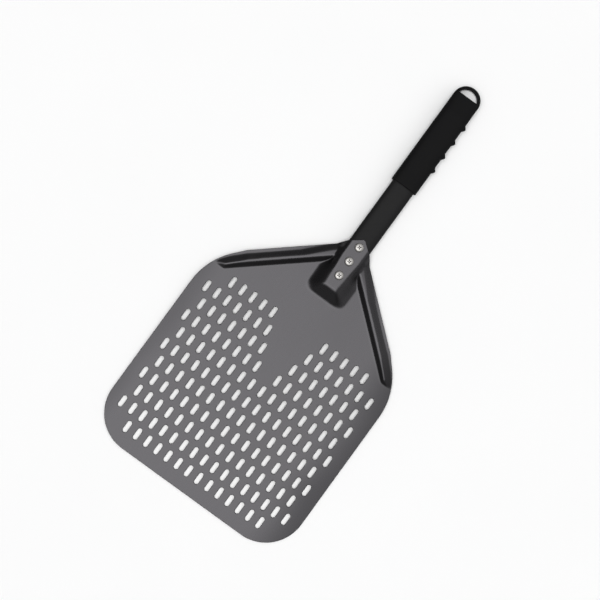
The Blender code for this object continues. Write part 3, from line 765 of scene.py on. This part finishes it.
# ---------------------------------------------------------------- grip
def ridge_push(y):
    """How far the finger ridges swell the grip's +x side at y."""
    push = 0.0
    foot = 1 + RIDGE_SOFTNESS
    for centre in RIDGE_YS:
        share = min(1.0, abs(y - centre) / RIDGE_HALF_LENGTH)
        fall = math.sqrt(share * share + RIDGE_SOFTNESS) / math.sqrt(foot)
        push = max(push, RIDGE_HEIGHT * (1 - fall))
    return push / (1 - math.sqrt(RIDGE_SOFTNESS / foot))


def grip_half_height(y):
    share = float(np.clip((y - GRIP_TAPER_START_Y) / (OVERALL_LENGTH - GRIP_TAPER_START_Y), 0.0, 1.0))
    return GRIP_HALF_HEIGHT - (GRIP_HALF_HEIGHT - GRIP_END_HALF_HEIGHT) * share


def grip_top(x, y):
    """Height of the grip's upper surface above its middle."""
    beyond = max(0.0, y - GRIP_END_CENTRE_Y)
    reach = min(1.0, math.hypot(x, beyond) / GRIP_HALF_WIDTH)
    return grip_half_height(y) * (1 - reach ** GRIP_POWER) ** (1 / GRIP_POWER)


def grip_ring(y, inset):
    """One section; past the end's centre it belongs to a round, evenly domed end."""
    beyond = max(0.0, y - GRIP_END_CENTRE_Y)
    half_width = math.sqrt(max(0.0, GRIP_HALF_WIDTH ** 2 - beyond ** 2))
    x, _, angles = oval(half_width, 1.0, GRIP_POWER, GRIP_STEPS)
    heights = np.array([grip_top(value, y) for value in x]) * np.sign(np.sin(angles))
    if beyond == 0.0:
        _, heights, _ = oval(half_width, grip_half_height(y), GRIP_POWER, GRIP_STEPS)
    shrink = 1 - inset / GRIP_HALF_WIDTH
    flatten = 1 - inset / GRIP_HALF_HEIGHT
    x = x * shrink + ridge_push(y) * np.maximum(0.0, np.cos(angles)) ** RIDGE_WRAP_POWER
    return np.column_stack([x, np.full(GRIP_STEPS, y), TUBE_CENTRE_Z + heights * flatten])


def grip_stations():
    """Places along the grip as (y, inset): the rounded mouth, the length, the ridges, the end."""
    stations = []
    for degrees in (0, 18, 36, 54, 72, 90):
        angle = math.radians(degrees)
        stations.append((GRIP_START_Y + GRIP_LIP * (1 - math.cos(angle)),
                         GRIP_LIP * (1 - math.sin(angle))))
    for y in np.arange(GRIP_START_Y + GRIP_FIRST_SECTION, GRIP_END_CENTRE_Y, GRIP_SECTION_STEP):
        near_ridge = any(abs(y - centre) < RIDGE_HALF_LENGTH + RIDGE_MARGIN for centre in RIDGE_YS)
        if not near_ridge:
            stations.append((y, 0.0))
    for centre in RIDGE_YS:
        for share in np.linspace(-1.0, 1.0, RIDGE_SECTIONS):
            stations.append((centre + share * RIDGE_HALF_LENGTH, 0.0))
    for degrees in np.linspace(0.0, END_LAST_DEG, END_SECTIONS):
        stations.append((GRIP_END_CENTRE_Y + GRIP_HALF_WIDTH * math.sin(math.radians(degrees)), 0.0))
    return sorted(stations)


def hang_hole_outline():
    """D shape with its flat towards the blade and rounded corners."""
    rise = math.degrees(math.asin((HANG_HOLE_FLAT_Y - GRIP_END_CENTRE_Y) / HANG_HOLE_RADIUS))
    bow = arc(0.0, GRIP_END_CENTRE_Y, HANG_HOLE_RADIUS, rise, 180 - rise, 40)
    right = fillet((0.0, HANG_HOLE_FLAT_Y), bow[0], bow[3], HANG_HOLE_CORNER)
    left = [(-x, y) for x, y in right[::-1]]
    return right + bow[4:-4] + left


def build_grip():
    """Moulded grip with a rounded mouth, finger ridges and a hanging hole with softened edges."""
    rings = [grip_ring(y, inset) for y, inset in grip_stations()]
    grip = add_piece("moulded_grip", loft("moulded_grip", rings))

    socket_rings = [tube_ring(y, -FIT) for y in (GRIP_START_Y - 0.005, TUBE_END_Y + GAP)]
    socket = add_piece("grip_socket", loft("grip_socket", socket_rings))

    outline = np.array(hang_hole_outline())
    outline, away = open_edge(outline)
    tops = np.array([grip_top(x, y) for x, y in outline])
    levels = [(HANG_HOLE_ROUNDING, 2 * OVERCUT)]
    for degrees in (90, 67, 45, 22, 5):
        angle = math.radians(degrees)
        levels.append((HANG_HOLE_ROUNDING * (1 - math.sin(angle)),
                       -HANG_HOLE_ROUNDING * (1 - math.cos(angle))))
    rings = []
    for side in (1, -1):
        side_rings = []
        for flare, lift in levels:
            ring = outline + away * flare
            side_rings.append(np.column_stack([ring, TUBE_CENTRE_Z + side * (tops + lift)]))
        rings += side_rings if side > 0 else side_rings[::-1]
    hole = add_piece("grip_hang_hole", loft("grip_hang_hole", rings))
    cut(grip, [socket, hole], smooth_angle=GRIP_SMOOTH_DEG)
    return grip


# ---------------------------------------------------------------- finishes
def set_range(node, *limits):
    """Fill in a Map Range node with its input limits and its output limits."""
    for key, limit in zip(("From Min", "From Max", "To Min", "To Max"), limits):
        node.inputs[key].default_value = limit


class Finish:
    """A material being built, with short calls for the nodes that are used here."""

    def __init__(self, name, colour, **constants):
        self.material = bpy.data.materials.new(name)
        self.material.use_nodes = True
        self.tree = self.material.node_tree
        self.shader = self.tree.nodes["Principled BSDF"]
        self.shader.inputs["Base Color"].default_value = (*colour, 1.0)
        self.material.diffuse_color = (*colour, 1.0)
        for key, value in constants.items():
            self.shader.inputs[key.replace("_", " ")].default_value = value
        self.place = self.add("ShaderNodeTexCoord").outputs["Object"]
        self.normal = None

    def add(self, kind, **settings):
        node = self.tree.nodes.new(kind)
        for key, value in settings.items():
            setattr(node, key, value)
        return node

    def put(self, socket, value):
        """Link a socket, or set a plain value."""
        if isinstance(value, bpy.types.NodeSocket):
            self.tree.links.new(value, socket)
        elif isinstance(value, tuple) and len(value) == 3 and socket.type == "RGBA":
            socket.default_value = (*value, 1.0)
        else:
            socket.default_value = value

    def feed(self, name, value):
        self.put(self.shader.inputs[name], value)

    def stretched(self, x, y, z):
        node = self.add("ShaderNodeMapping")
        self.put(node.inputs["Vector"], self.place)
        node.inputs["Scale"].default_value = (x, y, z)
        return node.outputs["Vector"]

    def noise(self, scale, detail=2.0, roughness=0.5, vector=None):
        node = self.add("ShaderNodeTexNoise")
        self.put(node.inputs["Vector"], vector or self.place)
        node.inputs["Scale"].default_value = scale
        node.inputs["Detail"].default_value = detail
        node.inputs["Roughness"].default_value = roughness
        return node.outputs["Fac"]

    def cells(self, scale):
        node = self.add("ShaderNodeTexVoronoi", feature="F1")
        self.put(node.inputs["Vector"], self.place)
        node.inputs["Scale"].default_value = scale
        return node.outputs["Distance"]

    def remap(self, value, low, high, to_low, to_high, smooth=False):
        node = self.add("ShaderNodeMapRange")
        if smooth:
            node.interpolation_type = "SMOOTHSTEP"
        self.put(node.inputs["Value"], value)
        set_range(node, low, high, to_low, to_high)
        return node.outputs["Result"]

    def maths(self, operation, first, second):
        node = self.add("ShaderNodeMath", operation=operation)
        self.put(node.inputs[0], first)
        self.put(node.inputs[1], second)
        return node.outputs[0]

    def blend(self, factor, first, second):
        node = self.add("ShaderNodeMix", data_type="RGBA")
        self.put(node.inputs["Factor"], factor)
        self.put(node.inputs[6], first)
        self.put(node.inputs[7], second)
        return node.outputs[2]

    def axis(self, index):
        node = self.add("ShaderNodeSeparateXYZ")
        self.put(node.inputs[0], self.place)
        return node.outputs[index]

    def bump(self, height, distance):
        """Add a layer of relief; distance is its depth in metres."""
        node = self.add("ShaderNodeBump")
        node.inputs["Strength"].default_value = 1.0
        node.inputs["Distance"].default_value = distance
        self.put(node.inputs["Height"], height)
        if self.normal:
            self.put(node.inputs["Normal"], self.normal)
        self.normal = node.outputs["Normal"]
        self.put(self.shader.inputs["Normal"], self.normal)


def anodised_sheet():
    """Satin grey anodised aluminium: rolling lines, mottled shade, darker sides, worn edges."""
    finish = Finish("anodised_sheet", (0.044, 0.043, 0.0455), Metallic=1.0)
    cloud = finish.noise(11.0, 3.0, 0.55)
    grain = finish.noise(1400.0, 2.0, 0.6)
    rolled = finish.noise(1.0, 2.0, 0.5, finish.stretched(2600.0, 42.0, 2600.0))
    shade = finish.maths("ADD", finish.remap(cloud, 0.3, 0.7, 0.0, 0.45),
                         finish.remap(grain, 0.25, 0.75, 0.0, 0.35))
    shade = finish.maths("ADD", shade, finish.remap(rolled, 0.3, 0.7, 0.0, 0.20))
    colour = finish.blend(shade, (0.0381, 0.0370, 0.0392), (0.0474, 0.0461, 0.0486))

    # Base colour darkened towards both sides of the blade: to about half over the last 55 mm on the right,
    # to 0.8 over the last 28 mm on the left.
    across = finish.axis(0)
    drift = finish.remap(finish.noise(9.0, 2.0), 0.3, 0.7, -0.006, 0.006)
    across = finish.maths("ADD", across, drift)
    right = finish.remap(across, 0.085, 0.140, 1.0, 0.48, smooth=True)
    left = finish.remap(across, -0.140, -0.112, 0.80, 1.0, smooth=True)
    side_darkening = finish.maths("MULTIPLY", right, left)
    colour = finish.blend(side_darkening, (0.006, 0.006, 0.0065), colour)

    worn = finish.add("ShaderNodeAttribute", attribute_name="edge_wear").outputs["Fac"]
    patches = finish.remap(finish.noise(160.0, 4.0, 0.65), 0.56, 0.66, 0.0, 0.55)
    colour = finish.blend(finish.maths("MULTIPLY", worn, patches), colour, (0.19, 0.188, 0.187))
    finish.feed("Base Color", colour)
    finish.feed("Roughness", finish.maths("ADD", finish.remap(grain, 0.2, 0.8, 0.25, 0.30),
                                          finish.remap(cloud, 0.3, 0.7, -0.02, 0.03)))
    finish.bump(grain, 0.0000050)
    finish.bump(rolled, 0.0000025)
    return finish.material


def coated_tube():
    """Matt black powder coat with a fine orange-peel surface."""
    finish = Finish("black_powder_coat", (0.009, 0.009, 0.0095), Specular_IOR_Level=0.16)
    peel = finish.noise(900.0, 1.5, 0.4)
    fine = finish.noise(3800.0, 2.0, 0.6)
    cloud = finish.noise(24.0, 3.0)
    shade = finish.maths("MULTIPLY", finish.remap(cloud, 0.3, 0.7, 0.5, 1.0),
                         finish.remap(fine, 0.2, 0.8, 0.6, 1.0))
    finish.feed("Base Color", finish.blend(shade, (0.0048, 0.0048, 0.0052), (0.0080, 0.0079, 0.0084)))
    finish.feed("Roughness", finish.remap(peel, 0.25, 0.75, 0.48, 0.60))
    finish.bump(peel, 0.000014)
    finish.bump(fine, 0.000003)
    return finish.material


def grip_plastic():
    """Black moulded grip with a spark-eroded matt texture, a little shinier where it is held."""
    finish = Finish("black_grip_plastic", (0.0045, 0.0045, 0.0048), Specular_IOR_Level=0.085)
    texture = finish.cells(2300.0)
    fine = finish.noise(5200.0, 2.0, 0.6)
    cloud = finish.noise(30.0, 3.0)
    finish.feed("Base Color", finish.blend(finish.remap(cloud, 0.3, 0.7, 0.0, 1.0),
                                           (0.0036, 0.0036, 0.0039), (0.0054, 0.0053, 0.0057)))
    held = finish.remap(cloud, 0.35, 0.65, -0.03, 0.04)
    finish.feed("Roughness", finish.maths("ADD", finish.remap(texture, 0.0, 0.6, 0.50, 0.62), held))
    finish.bump(texture, 0.000020)
    finish.bump(fine, 0.000004)
    return finish.material


def plug_plastic():
    """Black nylon, slightly glossy, with faint flow marks."""
    finish = Finish("black_nylon", (0.016, 0.016, 0.017), Specular_IOR_Level=0.35)
    flow = finish.noise(240.0, 3.0, 0.6)
    finish.feed("Base Color", finish.blend(flow, (0.012, 0.012, 0.013), (0.020, 0.020, 0.021)))
    finish.feed("Roughness", finish.remap(flow, 0.3, 0.7, 0.40, 0.55))
    finish.bump(finish.noise(2600.0, 2.0), 0.000006)
    return finish.material


def bright_steel():
    """Nickel-plated steel with turning marks round the axis and small nicks."""
    finish = Finish("bright_steel", (0.20, 0.195, 0.185), Metallic=1.0)
    flat = finish.add("ShaderNodeVectorMath", operation="MULTIPLY")
    finish.put(flat.inputs[0], finish.place)
    flat.inputs[1].default_value = (1.0, 1.0, 0.0)
    length = finish.add("ShaderNodeVectorMath", operation="LENGTH")
    finish.put(length.inputs[0], flat.outputs["Vector"])
    radial = finish.add("ShaderNodeCombineXYZ")
    finish.put(radial.inputs["X"], length.outputs["Value"])
    rings = finish.noise(7000.0, 2.0, 0.5, radial.outputs["Vector"])
    nicks = finish.noise(1500.0, 3.0, 0.6)
    finish.feed("Base Color", finish.blend(nicks, (0.275, 0.267, 0.256), (0.370, 0.361, 0.347)))
    finish.feed("Roughness", finish.remap(rings, 0.3, 0.7, 0.32, 0.44))
    finish.bump(rings, 0.0000030)
    finish.bump(nicks, 0.0000060)
    return finish.material


# ---------------------------------------------------------------- stage
FLOOR_HALF = 3.0
FLOOR_CLEARANCE = 0.00015         # under the tip and the nut


def build_floor():
    """Pale floor that the tip of the blade and the front nut's head stand on."""
    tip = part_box("blade")[0]
    nut_low, nut_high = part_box("barrel_nut_front")
    nut_y = (nut_low.y + nut_high.y) / 2
    slope = (nut_low.z - tip.z) / (nut_y - tip.y)
    points = []
    for x, y in ((-1, -1), (1, -1), (1, 1), (-1, 1)):
        height = tip.z + slope * (y * FLOOR_HALF - tip.y) - FLOOR_CLEARANCE
        points.append((x * FLOOR_HALF, y * FLOOR_HALF, height))
    floor = bpy.data.objects.new("floor", make_mesh("floor", points, [(0, 1, 2, 3)]))
    bpy.context.scene.collection.objects.link(floor)
    finish = Finish("pale_floor", (0.96, 0.96, 0.96), Roughness=0.8, Specular_IOR_Level=0.1)
    finish.feed("Base Color", finish.blend(finish.noise(6.0, 3.0), (0.95, 0.95, 0.95), (0.97, 0.97, 0.97)))
    floor.data.materials.append(finish.material)


SOFTBOXES = (
    # direction, half angle of the even part, half angle of its faded edge, strength
    ((-0.078, -0.145, 0.986), 11.0, 27.0, 5.55),    # overhead, where the blade reflects it
    ((0.0, -0.98, 0.17), 12.0, 42.0, 0.30),         # low glow from beyond the tip
)
FILL_AXIS = (0.60, 0.72, 0.30)    # the fill is brightest on the handle's right
FILL_LOW = 0.26
FILL_HIGH = 1.37
DUSK_START = -0.05                # height of the direction at which the fill starts to brighten
DUSK_END = 0.60                   # and at which it is whole
DUSK_LEVEL = 0.35                 # its share below that
BACKGROUND = 1.0


def light_world():
    """Studio round the object: an overhead softbox, a low glow and a one-sided fill.

    The camera sees a plain white backdrop instead.
    """
    world = bpy.data.worlds.new("studio")
    bpy.context.scene.world = world
    world.use_nodes = True
    tree = world.node_tree
    tree.nodes.clear()
    direction = tree.nodes.new("ShaderNodeTexCoord").outputs["Generated"]

    def facing(axis, low, high, to_low, to_high):
        """Value that rises as the direction turns towards an axis."""
        dot = tree.nodes.new("ShaderNodeVectorMath")
        dot.operation = "DOT_PRODUCT"
        tree.links.new(direction, dot.inputs[0])
        dot.inputs[1].default_value = Vector(axis).normalized()
        spread = tree.nodes.new("ShaderNodeMapRange")
        spread.interpolation_type = "SMOOTHSTEP"
        tree.links.new(dot.outputs["Value"], spread.inputs["Value"])
        set_range(spread, low, high, to_low, to_high)
        return spread.outputs["Result"]

    def combine(operation, first, second):
        node = tree.nodes.new("ShaderNodeMath")
        node.operation = operation
        tree.links.new(first, node.inputs[0])
        tree.links.new(second, node.inputs[1])
        return node.outputs[0]

    fill = facing(FILL_AXIS, 0.0, 1.0, FILL_LOW, FILL_HIGH)
    dusk = facing((0.0, 0.0, 1.0), DUSK_START, DUSK_END, DUSK_LEVEL, 1.0)
    total = combine("MULTIPLY", fill, dusk)
    for axis, inner, outer, strength in SOFTBOXES:
        edge = math.cos(math.radians(outer))
        core = math.cos(math.radians(inner))
        total = combine("ADD", total, facing(axis, edge, core, 0.0, strength))

    studio = tree.nodes.new("ShaderNodeBackground")
    tree.links.new(total, studio.inputs["Strength"])
    backdrop = tree.nodes.new("ShaderNodeBackground")
    backdrop.inputs["Color"].default_value = (1.0, 1.0, 1.0, 1.0)
    backdrop.inputs["Strength"].default_value = BACKGROUND
    choose = tree.nodes.new("ShaderNodeMixShader")
    tree.links.new(tree.nodes.new("ShaderNodeLightPath").outputs["Is Camera Ray"], choose.inputs[0])
    tree.links.new(studio.outputs[0], choose.inputs[1])
    tree.links.new(backdrop.outputs[0], choose.inputs[2])
    tree.links.new(choose.outputs[0], tree.nodes.new("ShaderNodeOutputWorld").inputs["Surface"])


CAMERA_EYE = (-0.0540, -0.0849, 1.7857)
CAMERA_AIM = (-0.0200, -0.0301, 0.0055)
CAMERA_LENS = 90.0                # millimetres, on a 36 mm sensor
CAMERA_ROLL_DEG = 36.077          # how far the handle leans to the right in the picture


def place_camera():
    camera_data = bpy.data.cameras.new("camera")
    camera_data.lens = CAMERA_LENS
    camera_data.sensor_width = 36.0
    camera_data.clip_end = 50.0
    camera = bpy.data.objects.new("camera", camera_data)
    bpy.context.scene.collection.objects.link(camera)
    eye = Vector(CAMERA_EYE)
    forward = (Vector(CAMERA_AIM) - eye).normalized()
    handle = Vector((0.0, 1.0, 0.0))
    handle = (handle - forward * handle.dot(forward)).normalized()
    sideways = forward.cross(handle)
    roll = math.radians(CAMERA_ROLL_DEG)
    up = handle * math.cos(roll) - sideways * math.sin(roll)
    right = forward.cross(up)
    camera.matrix_world = Matrix((right, up, -forward)).transposed().to_4x4()
    camera.location = eye
    bpy.context.scene.camera = camera


# ---------------------------------------------------------------- assembly
place_camera()
light_world()
build_floor()

steel = bright_steel()
hand_over(build_blade(), "blade", anodised_sheet())
hand_over(build_tube(), "handle_tube", coated_tube())
hand_over(build_plug(), "tube_plug", plug_plastic())
for place, y in SCREW_YS.items():
    hand_over(build_screw(place, y), "screw_" + place, steel)
    hand_over(build_barrel_nut(place, y), "barrel_nut_" + place, steel)
hand_over(build_grip(), "grip", grip_plastic())

bpy.context.scene.view_settings.view_transform = "Standard"
